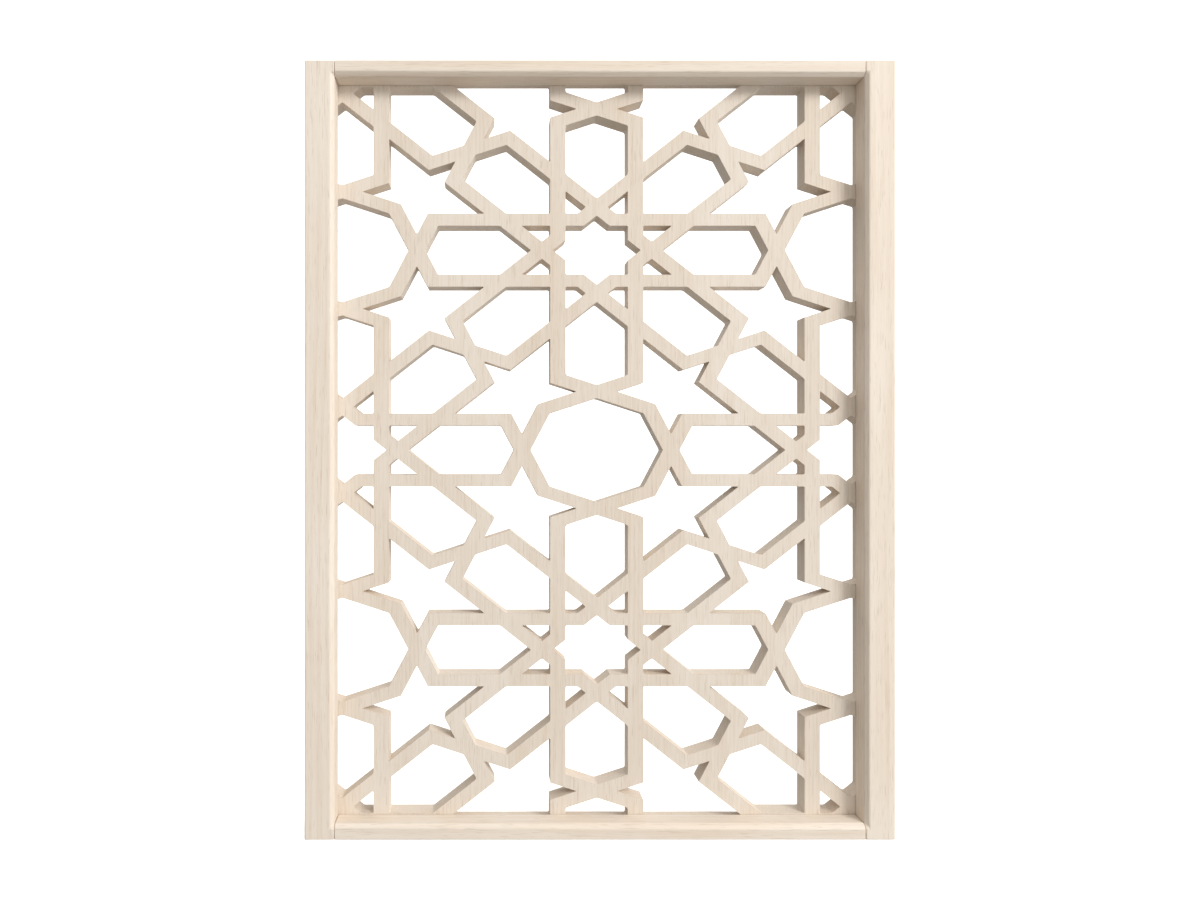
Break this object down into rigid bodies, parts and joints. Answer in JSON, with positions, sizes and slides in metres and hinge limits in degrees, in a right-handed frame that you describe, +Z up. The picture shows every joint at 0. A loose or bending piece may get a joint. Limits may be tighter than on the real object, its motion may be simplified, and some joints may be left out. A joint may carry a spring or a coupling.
{
  "type": "jali screen",
  "caption": "Framed jali screen: a pierced pale timber panel of rosettes, octagons and five-pointed stars, fixed behind a plain chamfered frame and made to be built into an opening.",
  "frame": {"origin": "Middle of the screen's underside, where it seats on the sill of the opening it is built into", "axes": "+Z up along the stiles, +X to the right across the width as seen from the front, the front faces -Y"},
  "size_m": [0.606, 0.043, 0.8],
  "materials": {
    "frame_timber": "matte",
    "panel_timber": "matte"
  },
  "bodies": {
    "root": {"stile_left": "frame_timber", "stile_right": "frame_timber", "rail_bottom": "frame_timber", "rail_top": "frame_timber", "jali_panel": "panel_timber"}
  },
  "joints": []
}
